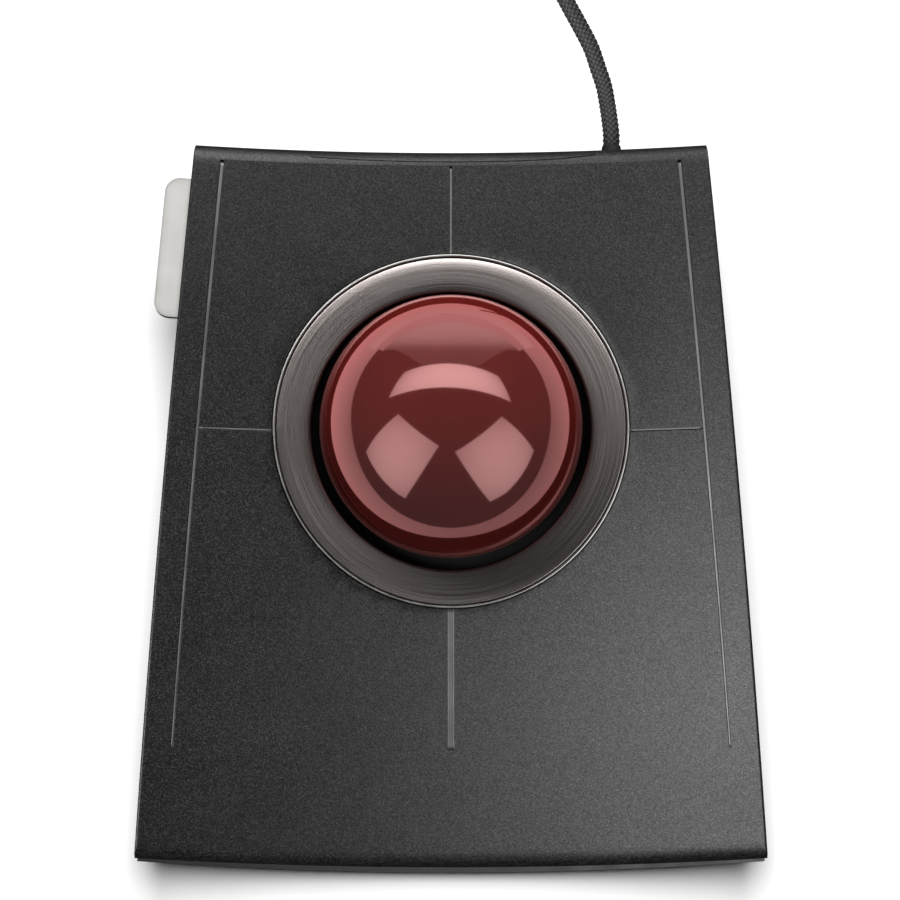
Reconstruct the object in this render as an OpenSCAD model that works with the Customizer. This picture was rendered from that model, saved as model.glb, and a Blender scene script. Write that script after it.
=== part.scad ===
// Corded desktop trackball: a large ball in a saddle-shaped plate with four buttons.
// Millimetres. +X is the user's right, +Y the back edge, +Z up. Z = 0 is the desk.

/* [Body] */
// Length from the front edge to the back edge
body_len = 152.4; // [151.6:0.4:153.2]
// Width of the plate at the front edge
front_w = 132.8; // [127:0.2:136]
// Width of the plate at the back edge
back_w = 109; // [108:1:116]
// How far the front edge bows out in plan
front_bow = 1.5; // [0.5:0.5:3]
// Height of the plate's surface on the centre line at its crest
crest_z = 26.5; // [25.5:0.1:27.5]

/* [Ball and ring] */
// Radius of the ball
ball_r = 27.5; // [27.5:0.1:27.6]
// Outer radius of the ring
ring_r = 37.6; // [37:0.1:38]
// Radius of the opening inside the ring
opening_r = 29.3; // [29:0.1:30]

/* [Buttons] */
// Distance of the side grooves from the side edges
groove_inset = 6.4; // [6:0.1:7]
// Width of the narrow grooves between the panels
groove_w = 0.5; // [0.4:0.1:0.8]
// Width of the slot between the two front buttons
slot_w = 1.4; // [1.2:0.1:1.8]
// Travel of a switch plunger
travel = 0.6; // [0.4:0.1:0.7]

/* [Cord] */
// Diameter of the cord
cord_d = 3.8; // [3.6:0.1:3.8]

/* [Hidden] */

// Saddle surface: valley across X, crest along Y
valley_r = 242;
crest_r = 450;
crest_y = 53;
skin = 2.2;
rim_w = 3;
rim_depth = 3.2;
wing_t = 1.2;
tub_gap = 0.4;
lip_out = 1.1;
lip_bow = 2.1;
lens_depth = 2.2;
lens_half = 33;

// Panels
front_hinge_y = -52;
rear_hinge_y = 72.2;
ring_y = 15;
split_y = 14.2;
panel_gap = 0.3;

// Ball and cup
ball_y = 14.2;
ball_z = 32.5;
cup_r = ball_r + 0.7;
cup_wall = 1.5;
flange_z = [15, 16.5];
flange_r = 33;
bearing_r = 1.25;
bearing_tilt = 45;
sensor_tilt = 48;
bearing_azimuths = [30, 150, 270];
sensor_azimuths = [0, 180];
cup_ears = [90, 210, 330];
ear_r = 33;
ear_z = [10, 12];
trim_w = 0.7;

// Tub: its floor, and how far its wall stands inside the plate's edge
floor_z = [0.9, 2.4];
wall = 2;
wall_top_z = 30;
side_insets = [15, 3.2];
front_insets = [3, -7];
rear_insets = [6, 2];
foot_recess = 0.6;
foot_spots = [[34, -64], [27, 63]];
label_recess = 0.35;
front_screws = [[-42, -57], [42, -57], [0, -63]];

// Side tag: its middle, half length, how far it stands out, and its heights
tag_y = 53.7;
tag_half = 15.2;
tag_out = 5.8;
tag_corner = 3.2;
tag_z = [25.9, 27.6];

// Switches: one board on each side carries a front and a rear switch
switch_x = 40;
switch_ys = [4, 24];
switch_board_z = 12;
board_t = 1.2;
switch_h = 6.5;
switch_top = switch_board_z + board_t + switch_h;
plunger_z = [switch_top - 1.1, switch_top + 0.7];
stem_gap = 0.05;
main_board_z = 6;
board_top = main_board_z + board_t;
board_screw_xs = [-36, 20];
board_screw_y = 65;
switch_screw_ys = [-5, 33];

// Cord: where it leaves, and the points that its free stretch follows on the desk
cord_r = cord_d / 2;
exit_x = 35.5;
exit_z = 6;
gland_y = 82;
cord_points = [
  [35.5, 82, 6], [35.5, 85, 5.8], [35.2, 89, 4.6], [34.8, 93, 3], [34.2, 97, 2.1],
  [33, 101, 1.9], [31.4, 106, 1.9], [29, 111, 1.9], [26.4, 116, 1.9], [24, 121, 1.9],
  [22.2, 126, 1.9], [20.8, 131, 1.9], [20.1, 136, 1.9], [20, 141, 1.9], [20, 146, 1.9],
  [20, 151, 1.9]
];
coil_r = 24;
coil_turns = [3, 4];
coil_x = 20 - coil_r - cord_d;
coil_y = 151;
coil_top = coil_turns[1] * cord_d;
tail_y = coil_y + coil_r + cord_d;
tail_points = [
  [-7.8, 178.8, 13.3], [-13, 178.8, 13.3], [-18, 178.8, 12.8], [-23, 178.8, 11],
  [-28, 178.8, 8.8], [-33, 178.8, 6.5], [-38, 178.8, 4.9], [-43, 178.8, 4.1], [-46, 178.8, 4]
];
plug_x = -46;
plug_z = 4;
grip_l = 26;
neck_l = 6;
shell_l = 12;
shell_size = [4.5, 12];
tube_sides = 8;

function half_width(y) =
  front_w / 2 - (front_w - back_w) / 2 * (y + body_len / 2) / body_len;
side_angle = atan((front_w - back_w) / 2 / body_len);

// ---- Plan shapes ----

// The plate's outline, drawn in by the given amounts
module trapezoid(side, front, rear) {
  y0 = -body_len / 2 + front;
  y1 = body_len / 2 - rear;
  x0 = half_width(y0) - side;
  x1 = half_width(y1) - side;
  polygon([[-x0, y0], [x0, y0], [x1, y1], [-x1, y1]]);
}

module outline(inset = 0) {
  intersection() {
    trapezoid(inset, inset, inset);
    bow(front_bow, inset);
  }
}

// The tub's plan: inside the plate's edge, but standing out as a narrow lip at the front
module tub_plan() {
  intersection() {
    trapezoid(tub_gap, -lip_out, tub_gap);
    bow(lip_bow, -lip_out);
  }
}

// A large disc whose edge is the bowed front edge
module bow(depth, inset) {
  bow_r = (pow(front_w / 2, 2) + pow(depth, 2)) / (2 * depth);
  translate([0, bow_r - body_len / 2 + inset]) circle(bow_r, $fn = 1440);
}

// The lens-shaped plan of the rear panel, against the back edge
module lens(gap = 0) {
  lens_r = (pow(lens_half, 2) + pow(lens_depth, 2)) / (2 * lens_depth);
  intersection() {
    trapezoid(0, 0, 0);
    translate([0, body_len / 2 - lens_depth + lens_r + gap]) circle(lens_r, $fn = 720);
  }
}

module ring_plan(outer, inner) {
  translate([0, ring_y]) difference() {
    circle(outer, $fn = 180);
    circle(inner, $fn = 180);
  }
}

// Everything between the side grooves, from the front hinge to the rear hinge
module panel_opening(grow_x, grow_y) {
  y0 = front_hinge_y - grow_y;
  y1 = rear_hinge_y + grow_y;
  x0 = half_width(y0) - groove_inset + grow_x;
  x1 = half_width(y1) - groove_inset + grow_x;
  polygon([[-x0, y0], [x0, y0], [x1, y1], [-x1, y1]]);
}

// One button's plan on the right-hand side
module button_plan(front) {
  y0 = front ? front_hinge_y : split_y + groove_w / 2;
  y1 = front ? split_y - groove_w / 2 : rear_hinge_y;
  middle = (front ? slot_w : groove_w) / 2;
  x0 = half_width(y0) - groove_inset;
  x1 = half_width(y1) - groove_inset;
  difference() {
    polygon([[middle, y0], [x0, y0], [x1, y1], [middle, y1]]);
    translate([0, ring_y]) circle(ring_r + panel_gap, $fn = 180);
  }
}

// ---- Building blocks ----

// The layer between two depths below the saddle surface
module saddle(top, bottom) {
  reach = 18;
  translate([0, crest_y, crest_z - crest_r]) rotate([0, 90, 0]) rotate([0, 0, 180 - reach])
    rotate_extrude(angle = 2 * reach, $fn = 720) intersection() {
      translate([crest_r + valley_r, 0]) difference() {
        circle(valley_r + bottom, $fn = 720);
        circle(valley_r + top, $fn = 720);
      }
      translate([crest_r - 32, -75]) square([80, 150]);
    }
}

module tub_block(inset, low_z) {
  part = (low_z - floor_z[0]) / (wall_top_z - floor_z[0]);
  hull() {
    translate([0, 0, low_z]) linear_extrude(0.01)
      trapezoid(mix(side_insets, part) + inset, mix(front_insets, part) + inset,
                mix(rear_insets, part) + inset);
    translate([0, 0, wall_top_z]) linear_extrude(0.01)
      trapezoid(side_insets[1] + inset, front_insets[1] + inset, rear_insets[1] + inset);
  }
}
function mix(pair, part) = pair[0] + (pair[1] - pair[0]) * part;

// A pan-head screw standing on its head, shank up
module screw(head_r, head_h, shank_r, shank_l) {
  difference() {
    cylinder(h = head_h, r = head_r, $fn = 48);
    translate([-head_r * 0.6, -0.25, -0.1]) cube([head_r * 1.2, 0.5, head_h * 0.5 + 0.1]);
    translate([-0.25, -head_r * 0.6, -0.1]) cube([0.5, head_r * 1.2, head_h * 0.5 + 0.1]);
  }
  translate([0, 0, head_h]) cylinder(h = shank_l, r = shank_r, $fn = 32);
}

// Places children on the ball's surface direction: azimuth round Z, tilt below level
module on_ball(azimuth, tilt) {
  translate([0, ball_y, ball_z]) rotate([0, 90 + tilt, azimuth]) children();
}

module both_sides() {
  children();
  mirror([1, 0, 0]) children();
}

// ---- Swept tubes: cords and wires ----

function unit(v) = v / norm(v);
function heading(points, i) =
  unit(points[min(i + 1, len(points) - 1)] - points[max(i - 1, 0)]);
function ring_point(centre, along, r, angle) =
  let (across = unit(cross(along, [0, 0, 1])), up = cross(across, along))
  centre + r * (cos(angle) * across + sin(angle) * up);
module tube(points, r) {
  last = len(points) - 1;
  rings = [
    for (i = [0 : last], k = [0 : tube_sides - 1])
      ring_point(points[i], heading(points, i), r, 360 * k / tube_sides)
  ];
  walls = [
    for (i = [0 : last - 1], k = [0 : tube_sides - 1])
      let (a = i * tube_sides + k, b = i * tube_sides + (k + 1) % tube_sides)
      [a, a + tube_sides, b + tube_sides, b]
  ];
  ends = [
    [for (k = [0 : tube_sides - 1]) k],
    [for (k = [tube_sides - 1 : -1 : 0]) last * tube_sides + k]
  ];
  polyhedron(rings, concat(walls, ends));
}

// ---- Casing ----

module top_cover() {
  color("#3b3c3c") difference() {
    union() {
      intersection() {
        saddle(0, skin);
        linear_extrude(50) outline();
      }
      intersection() {
        saddle(skin / 2, rim_depth);
        linear_extrude(50) difference() {
          outline();
          outline(rim_w);
        }
      }
      intersection() {
        saddle(skin / 2, 30);
        for (p = front_screws) translate([p[0], p[1], 5]) cylinder(h = 20, r = 2.8, $fn = 48);
      }
    }
    linear_extrude(50) panel_opening(groove_w, panel_gap);
    linear_extrude(50) lens(-0.1);
    for (p = front_screws) translate([p[0], p[1], 4]) cylinder(h = 5, r = 1.25, $fn = 32);
  }
}

module rear_panel() {
  color("#2a2b2b") intersection() {
    saddle(0, 9);
    linear_extrude(50) lens();
  }
}

module tub_posts() {
  for (p = front_screws) translate([p[0], p[1], floor_z[0]])
    cylinder(h = 5 - floor_z[0], r = 3.4, $fn = 48);
  for (a = cup_ears) translate([ear_r * cos(a), ball_y + ear_r * sin(a), floor_z[0]])
    cylinder(h = ear_z[0] - floor_z[0], r = 2.4, $fn = 48);
  both_sides() for (y = switch_screw_ys) translate([switch_x, y, floor_z[0]])
    cylinder(h = switch_board_z - floor_z[0], r = 2.2, $fn = 48);
  for (x = board_screw_xs) translate([x, board_screw_y, floor_z[0]])
    cylinder(h = main_board_z - floor_z[0], r = 2.2, $fn = 48);
}

module foot_plan(grow = 0) {
  both_sides() for (p = foot_spots) translate(p) {
    square([16 + 2 * grow, 7 + 2 * grow], center = true);
    for (s = [-8, 8]) translate([s, 0]) circle(3.5 + grow, $fn = 48);
  }
}

module bottom_tub() {
  color("#1c1c1d") difference() {
    union() {
      difference() {
        union() {
          intersection() {
            tub_block(0, floor_z[0]);
            linear_extrude(50) tub_plan();
          }
          intersection() {
            saddle(rim_depth + 0.02, rim_depth + wing_t);
            linear_extrude(50) tub_plan();
          }
        }
        intersection() {
          tub_block(wall, floor_z[1]);
          linear_extrude(50) outline(tub_gap + wall);
        }
      }
      tub_posts();
    }
    saddle(-30, skin);
    linear_extrude(50) lens(-0.1);
    intersection() {
      saddle(-1, rim_depth);
      linear_extrude(50) difference() {
        outline(-3);
        outline(rim_w + 0.05);
      }
    }
    intersection() {
      saddle(-1, rim_depth);
      linear_extrude(50) panel_opening(1, 1);
    }
    translate([0, 0, floor_z[0] - 1]) linear_extrude(1 + foot_recess) foot_plan(0.1);
    translate([-20.1, -42.1, floor_z[0] - 1]) cube([40.2, 22.2, 1 + label_recess]);
    for (p = front_screws) translate([p[0], p[1], 0]) {
      cylinder(h = 2.6, r = 2.3, $fn = 48);
      cylinder(h = 8, r = 1.25, $fn = 32);
    }
    for (a = cup_ears) translate([ear_r * cos(a), ball_y + ear_r * sin(a), 4])
      cylinder(h = 10, r = 1.05, $fn = 32);
    both_sides() for (y = switch_screw_ys) translate([switch_x, y, 6])
      cylinder(h = 10, r = 0.85, $fn = 32);
    for (x = board_screw_xs) translate([x, board_screw_y, 3])
      cylinder(h = 10, r = 0.85, $fn = 32);
    translate([exit_x, 60, exit_z]) rotate([-90, 0, 0]) cylinder(h = 20, r = 3.15, $fn = 48);
    tag_side() tag_bracket_block(0.05);
  }
}

module feet() {
  color("#0f0f10") linear_extrude(floor_z[0] + foot_recess) foot_plan();
}

module label_plate() {
  color("#8b8d8e") translate([-20, -42, floor_z[0]]) cube([40, 22, label_recess]);
}

module case_screws() {
  color("#9a9b9c") for (p = front_screws) translate([p[0], p[1], 1.1])
    screw(2.2, 1.5, 1.2, 6);
}

// ---- Side tag, under the left wing ----

module tag_side() {
  translate([-half_width(tag_y), tag_y, 0]) rotate([0, 0, -side_angle]) children();
}
module tag_bracket_block(grow = 0) {
  translate([1.5 - grow, -13 - grow, 25.9 - grow])
    cube([3.9 + 2 * grow, 26 + 2 * grow, 2.3 + 2 * grow]);
}
module side_tag() {
  color("#c9c6c0") tag_side() translate([0, 0, tag_z[0]])
    linear_extrude(tag_z[1] - tag_z[0]) {
      translate([tag_corner - tag_out, -tag_half]) square([1.5 + tag_out - tag_corner, 2 * tag_half]);
      translate([-tag_out, tag_corner - tag_half]) square([tag_corner, 2 * (tag_half - tag_corner)]);
      for (y = [tag_corner - tag_half, tag_half - tag_corner]) translate([tag_corner - tag_out, y])
        circle(tag_corner, $fn = 48);
    }
}
module tag_bracket() {
  color("#4a4a4b") tag_side() tag_bracket_block();
}

// ---- Ring, cup and bearings ----

module bezel_ring() {
  color("#6f6b69") {
    intersection() {
      saddle(0.2, 2);
      linear_extrude(50) ring_plan(ring_r - trim_w, opening_r);
    }
    intersection() {
      saddle(1, 12);
      translate([0, 0, flange_z[1]]) linear_extrude(20) ring_plan(opening_r + 1.5, opening_r);
    }
  }
}

module ring_trim() {
  color("#b9b6b4") intersection() {
    saddle(-0.25, 1.8);
    linear_extrude(50) ring_plan(ring_r, ring_r - trim_w);
  }
}

module ball_cup() {
  color("#17171a") difference() {
    union() {
      translate([0, ball_y, 0]) rotate_extrude($fn = 180) intersection() {
        translate([0, ball_z]) circle(cup_r + cup_wall, $fn = 360);
        square([flange_r, flange_z[1]]);
      }
      translate([0, ball_y, flange_z[0]])
        cylinder(h = flange_z[1] - flange_z[0], r = flange_r, $fn = 180);
      for (a = cup_ears) translate([0, ball_y, ear_z[0]]) rotate(a) {
        translate([18, -3, 0]) cube([ear_r - 18, 6, ear_z[1] - ear_z[0]]);
        translate([ear_r, 0, 0]) cylinder(h = ear_z[1] - ear_z[0], r = 3, $fn = 48);
      }
      for (a = bearing_azimuths) on_ball(a, bearing_tilt) translate([0, 0, cup_r])
        cylinder(h = 3.2, r = 2.3, $fn = 48);
      for (a = sensor_azimuths) on_ball(a, sensor_tilt) for (s = [-4.6, 4.6])
        translate([s, 0, cup_r]) cylinder(h = 32.6 - cup_r, r = 0.9, $fn = 32);
    }
    translate([0, ball_y, ball_z]) sphere(cup_r, $fn = 360);
    for (a = bearing_azimuths) on_ball(a, bearing_tilt) translate([0, 0, cup_r - 1])
      cylinder(h = 3.1, r = bearing_r + 0.03, $fn = 48);
    for (a = sensor_azimuths) on_ball(a, sensor_tilt) translate([0, 0, cup_r - 1])
      cylinder(h = 4, r = 3.2, $fn = 48);
    for (a = cup_ears) translate([ear_r * cos(a), ball_y + ear_r * sin(a), 5])
      cylinder(h = 10, r = 1.15, $fn = 32);
  }
}

module cup_bearings() {
  color("#e8e8ea") for (a = bearing_azimuths) on_ball(a, bearing_tilt)
    translate([0, 0, ball_r + bearing_r + 0.03]) sphere(bearing_r, $fn = 48);
}

module cup_screws() {
  color("#9a9b9c") for (a = cup_ears)
    translate([ear_r * cos(a), ball_y + ear_r * sin(a), ear_z[1] + 1.4])
      mirror([0, 0, 1]) screw(2, 1.4, 1, 7);
}

module sensor_windows() {
  color("#7a1f24") for (a = sensor_azimuths) on_ball(a, sensor_tilt)
    translate([0, 0, cup_r + 0.2]) cylinder(h = 1.2, r = 3.15, $fn = 48);
}

module sensor_chips() {
  color("#151517") for (a = sensor_azimuths) on_ball(a, sensor_tilt)
    translate([-3.5, -4.5, 30.2]) cube([7, 9, 2.4]);
}

module sensor_boards() {
  color("#1f5a34") for (a = sensor_azimuths) on_ball(a, sensor_tilt)
    translate([-5.5, -5.5, 32.6]) cube([11, 11, board_t]);
}

// ---- Electronics ----

module main_board() {
  color("#1f5a34") translate([0, 0, main_board_z]) difference() {
    translate([-40, 51, 0]) cube([68, 17, board_t]);
    for (x = board_screw_xs) translate([x, board_screw_y, -1])
      cylinder(h = 4, r = 0.95, $fn = 32);
  }
}

module controller_chip() {
  color("#151517") translate([-12, 55, board_top]) cube([9, 9, 1.2]);
}

module board_parts() {
  color("#b08d57") {
    for (x = [-28, -22]) translate([x, 60, board_top]) cylinder(h = 5, r = 2.2, $fn = 48);
    translate([2, 57, board_top]) cube([10, 4, 3]);
    for (i = [0 : 4]) translate([-20 + 3 * i, 52.5, board_top]) cube([2, 1.2, 0.6]);
    for (x = [-37.5, 23]) translate([x, 51.3, board_top]) cube([5, 3, 2.6]);
  }
}

module board_screws() {
  color("#9a9b9c") {
    for (x = board_screw_xs) translate([x, board_screw_y, board_top + 1.1])
      mirror([0, 0, 1]) screw(1.7, 1.1, 0.8, 4);
    both_sides() for (y = switch_screw_ys)
      translate([switch_x, y, switch_board_z + board_t + 1.1])
        mirror([0, 0, 1]) screw(1.7, 1.1, 0.8, 5);
  }
}

module cable_connector() {
  color("#e9e4d8") translate([15, 57, board_top]) cube([7, 5, 4.2]);
}

module inner_lead() {
  color("#101011")
    tube([
      [exit_x, 66.25, exit_z], [exit_x, 64, exit_z], [34, 61, 7], [29, 59.5, 9.3],
      [22.05, 59.5, 9.3]
    ], 1.5);
}

module wire_harness() {
  color("#a33a35") {
    tube([
      [-35, 51.2, 8.6], [-35, 49, 8.8], [-36, 45, 10.8], [-36.8, 40, 14.1], [-36.8, 31.5, 14.1]
    ], 0.8);
    tube([
      [25.5, 51.2, 8.6], [25.5, 49, 8.8], [33, 45, 11], [36.8, 40, 14.1], [36.8, 31.5, 14.1]
    ], 0.8);
    both_sides() tube([[24, 20.5, 9], [26, 30, 8], [21, 50.9, 6.6]], 0.7);
  }
}

module switch_boards() {
  color("#1f5a34") both_sides() difference() {
    translate([switch_x - 4.5, -8, switch_board_z]) cube([9, 43.3, board_t]);
    for (y = switch_screw_ys) translate([switch_x, y, switch_board_z - 1])
      cylinder(h = 4, r = 0.95, $fn = 32);
  }
}

module switch_bodies() {
  color("#202226") both_sides() for (y = switch_ys) difference() {
    translate([switch_x - 2.9, y - 6.4, switch_board_z + board_t])
      cube([5.8, 12.8, switch_h]);
    translate([switch_x - 0.8, y - 1.6, plunger_z[0] - travel - 0.2]) cube([1.6, 3.2, 5]);
  }
}

module plunger(side, y) {
  color("#d8d2c2") translate([side * switch_x - 0.75, y - 1.55, plunger_z[0]])
    cube([1.5, 3.1, plunger_z[1] - plunger_z[0]]);
}
module plunger_front_left() { plunger(-1, switch_ys[0]); }
module plunger_front_right() { plunger(1, switch_ys[0]); }
module plunger_rear_left() { plunger(-1, switch_ys[1]); }
module plunger_rear_right() { plunger(1, switch_ys[1]); }

// ---- Buttons ----

// A panel of the plate with the stem that presses its switch
module button(front) {
  color("#414242") {
    intersection() {
      saddle(0, skin);
      linear_extrude(50) button_plan(front);
    }
    intersection() {
      saddle(skin / 2, 20);
      translate([switch_x, switch_ys[front ? 0 : 1], plunger_z[1] + stem_gap])
        cylinder(h = 15, r = 1.5, $fn = 32);
    }
  }
}
module button_front_left() { mirror([1, 0, 0]) button(true); }
module button_front_right() { button(true); }
module button_rear_left() { mirror([1, 0, 0]) button(false); }
module button_rear_right() { button(false); }

module ball() {
  color("#7c1d22") translate([0, ball_y, ball_z]) sphere(ball_r, $fn = 180);
}

// ---- Cord and plug ----

module cable_gland() {
  color("#151515") translate([exit_x, 0, exit_z]) rotate([-90, 0, 0]) {
    translate([0, 0, 66.3]) cylinder(h = 2, r = 3.5, $fn = 48);
    translate([0, 0, 66.3]) cylinder(h = 6, r = 3.1, $fn = 48);
    translate([0, 0, 71.7]) cylinder(h = 1.4, r = 4.1, $fn = 48);
    translate([0, 0, 73.1]) cylinder(h = gland_y - 73.1, r1 = 3.5, r2 = 2.05, $fn = 48);
  }
}

module cord() {
  color("#232324") tube(cord_points, cord_r);
}

module cord_coil() {
  half = coil_turns[0] * cord_r;
  color("#232324") translate([coil_x, coil_y, 0]) rotate_extrude($fn = 120)
    translate([coil_r - half, 0]) {
      translate([cord_r, 0]) square([2 * half - cord_d, coil_top]);
      translate([0, cord_r]) square([2 * half, coil_top - cord_d]);
      for (x = [cord_r, 2 * half - cord_r], z = [cord_r, coil_top - cord_r])
        translate([x, z]) circle(cord_r, $fn = 32);
    }
}

module cord_tail() {
  color("#232324") tube(tail_points, cord_r);
}

// A band round one side of the coil
module cord_tie() {
  half = coil_turns[0] * cord_r;
  band = 0.8;
  color("#1a1a1b") translate([coil_x - coil_r, coil_y - 4, 0]) difference() {
    translate([-half - band, 0, 0]) cube([2 * half + 2 * band, 8, coil_top + band]);
    translate([coil_r, 4, -1]) cylinder(h = coil_top + 1, r = coil_r + half, $fn = 120);
  }
  color("#1a1a1b") translate([coil_x - coil_r, coil_y - 4, 0]) intersection() {
    translate([half - 2, 0, 0]) cube([2 + band, 8, coil_top + band]);
    translate([coil_r, 4, -1]) cylinder(h = coil_top + 2, r = coil_r - half, $fn = 120);
  }
}

module plug_frame() {
  translate([plug_x, tail_y, plug_z]) rotate([0, -90, 0]) children();
}
module plug_grip() {
  color("#19191a") plug_frame() {
    cylinder(h = neck_l, r = 2.6, $fn = 48);
    translate([-plug_z, -7.6, neck_l]) cube([2 * plug_z, 15.2, grip_l - neck_l]);
  }
}

module plug_shell() {
  color("#c8cacc") plug_frame() translate([0, 0, grip_l]) difference() {
    translate([-shell_size[0] / 2, -shell_size[1] / 2, 0])
      cube([shell_size[0], shell_size[1], shell_l]);
    translate([-shell_size[0] / 2 + 0.3, -shell_size[1] / 2 + 0.3, -1])
      cube([shell_size[0] - 0.6, shell_size[1] - 0.6, shell_l + 2]);
  }
}

module plug_insert() {
  color("#e6e6e2") plug_frame() translate([-1.95, -5.7, grip_l])
    cube([1.9, 11.4, shell_l - 0.5]);
}

module plug_contacts() {
  color("#d0aa4a") plug_frame() for (y = [-3.5, -1, 1, 3.5])
    translate([-0.05, y - 0.5, grip_l + 3]) cube([0.15, 1, 8]);
}

top_cover();
rear_panel();
bottom_tub();
feet();
case_screws();
label_plate();
bezel_ring();
ring_trim();
ball_cup();
cup_bearings();
cup_screws();
sensor_windows();
sensor_chips();
sensor_boards();
main_board();
controller_chip();
board_parts();
board_screws();
cable_connector();
inner_lead();
wire_harness();
switch_boards();
switch_bodies();
side_tag();
tag_bracket();
button_front_left();
button_front_right();
button_rear_left();
button_rear_right();
plunger_front_left();
plunger_front_right();
plunger_rear_left();
plunger_rear_right();
ball();
cable_gland();
cord();
cord_coil();
cord_tail();
cord_tie();
plug_grip();
plug_shell();
plug_insert();
plug_contacts();
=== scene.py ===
import math

import bpy
import numpy as np
from mathutils import Matrix, Vector
from mathutils.geometry import delaunay_2d_cdt


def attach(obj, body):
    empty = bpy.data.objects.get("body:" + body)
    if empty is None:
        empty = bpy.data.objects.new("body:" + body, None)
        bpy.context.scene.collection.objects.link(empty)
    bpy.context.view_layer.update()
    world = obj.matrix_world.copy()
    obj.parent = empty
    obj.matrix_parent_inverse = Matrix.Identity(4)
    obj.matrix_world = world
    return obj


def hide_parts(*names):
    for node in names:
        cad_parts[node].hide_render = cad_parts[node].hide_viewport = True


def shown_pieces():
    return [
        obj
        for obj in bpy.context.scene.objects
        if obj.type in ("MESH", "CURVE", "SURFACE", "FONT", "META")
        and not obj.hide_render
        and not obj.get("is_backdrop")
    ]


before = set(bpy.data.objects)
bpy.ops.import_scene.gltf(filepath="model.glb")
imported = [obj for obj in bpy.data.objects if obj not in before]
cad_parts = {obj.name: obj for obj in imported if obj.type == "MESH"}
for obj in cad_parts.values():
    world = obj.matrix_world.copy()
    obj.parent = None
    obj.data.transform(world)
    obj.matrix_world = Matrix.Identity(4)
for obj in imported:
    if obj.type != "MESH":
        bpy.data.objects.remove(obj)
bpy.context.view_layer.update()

MM = 0.001

# ---- Shape values, in metres, the same as the CAD part's ----
BODY_LEN = 0.1524
FRONT_W = 0.1328
BACK_W = 0.109
FRONT_BOW = 0.0015
CREST_Z = 0.0265
VALLEY_R = 0.242
CREST_R = 0.450
CREST_Y = 0.053
SKIN = 0.0022
RING_Y = 0.015
RING_R = 0.0376
GROOVE_INSET = 0.0064
GROOVE_W = 0.0005
SLOT_W = 0.0014
FRONT_HINGE_Y = -0.052
REAR_HINGE_Y = 0.0722
SPLIT_Y = 0.0142
BALL_Y = 0.0142
BALL_Z = 0.0325
BALL_R = 0.0275
CORD_D = 0.0038

# ---- Values of the visual model alone ----
# rolled edges of the plate: radius at the sides, the back and the front
SIDE_ROLL = 0.0006
BACK_ROLL = 0.0048
FRONT_ROLL = 0.0024
# a side groove: half its width at the front hinge, how much more at the rear one, and its rounding
GROOVE_HALF = 0.00018
GROOVE_WIDENS = 0.00019
GROOVE_BEVEL = 0.00008
# between the ring's lip and the buttons, and their rounding there
RING_GAP = 0.00014
RING_BEVEL = 0.0002

# ---- Camera ----
CAMERA_ELEVATION = math.radians(80)
CAMERA_DISTANCE = 0.65
FOCAL_LENGTH_MM = 124.3
SENSOR_MM = 36
AIM = Vector((-0.0002, 0.0093, 0.0316))
camera_back = Vector((0, -math.cos(CAMERA_ELEVATION), math.sin(CAMERA_ELEVATION)))
camera_up = Vector((0, math.sin(CAMERA_ELEVATION), math.cos(CAMERA_ELEVATION)))
camera_data = bpy.data.cameras.new("camera")
camera_data.lens = FOCAL_LENGTH_MM
camera_data.sensor_width = SENSOR_MM
camera = bpy.data.objects.new("camera", camera_data)
camera.location = AIM + CAMERA_DISTANCE * camera_back
camera.rotation_euler = (math.pi / 2 - CAMERA_ELEVATION, 0, 0)
bpy.context.collection.objects.link(camera)
bpy.context.scene.camera = camera
bpy.context.scene.view_settings.view_transform = "Standard"


# ---- Mesh helpers ----
def link(obj):
    bpy.context.collection.objects.link(obj)
    return obj


def make_mesh(name, verts, faces, material=None, smooth=True):
    mesh = bpy.data.meshes.new(name)
    mesh.from_pydata([tuple(v) for v in verts], [], [tuple(f) for f in faces])
    mesh.validate()
    mesh.update()
    if smooth:
        mesh.polygons.foreach_set("use_smooth", [True] * len(mesh.polygons))
    if material:
        mesh.materials.append(material)
    return link(bpy.data.objects.new(name, mesh))


def grid_faces(rows, cols, wrap_cols=True, wrap_rows=False, start=0):
    """Quads between rows of points, each row cols long."""
    faces = []
    for i in range(rows if wrap_rows else rows - 1):
        for j in range(cols if wrap_cols else cols - 1):
            a = start + i * cols + j
            b = start + i * cols + (j + 1) % cols
            c = start + ((i + 1) % rows) * cols + (j + 1) % cols
            d = start + ((i + 1) % rows) * cols + j
            faces.append((a, b, c, d))
    return faces


def saddle(x, y):
    rho = CREST_R + VALLEY_R - np.sqrt(VALLEY_R**2 - np.square(x))
    return CREST_Z - CREST_R + np.sqrt(np.square(rho) - np.square(np.asarray(y) - CREST_Y))


def half_width(y):
    return FRONT_W / 2 - (FRONT_W - BACK_W) / 2 * (y + BODY_LEN / 2) / BODY_LEN


def groove_edge(y, side):
    """The outer (1) or inner (-1) edge of a side groove, which is wider towards the rear."""
    widening = (y - FRONT_HINGE_Y) / (REAR_HINGE_Y - FRONT_HINGE_Y)
    return half_width(y) - GROOVE_INSET + GROOVE_W / 2 + side * (GROOVE_HALF + GROOVE_WIDENS * widening)


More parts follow.
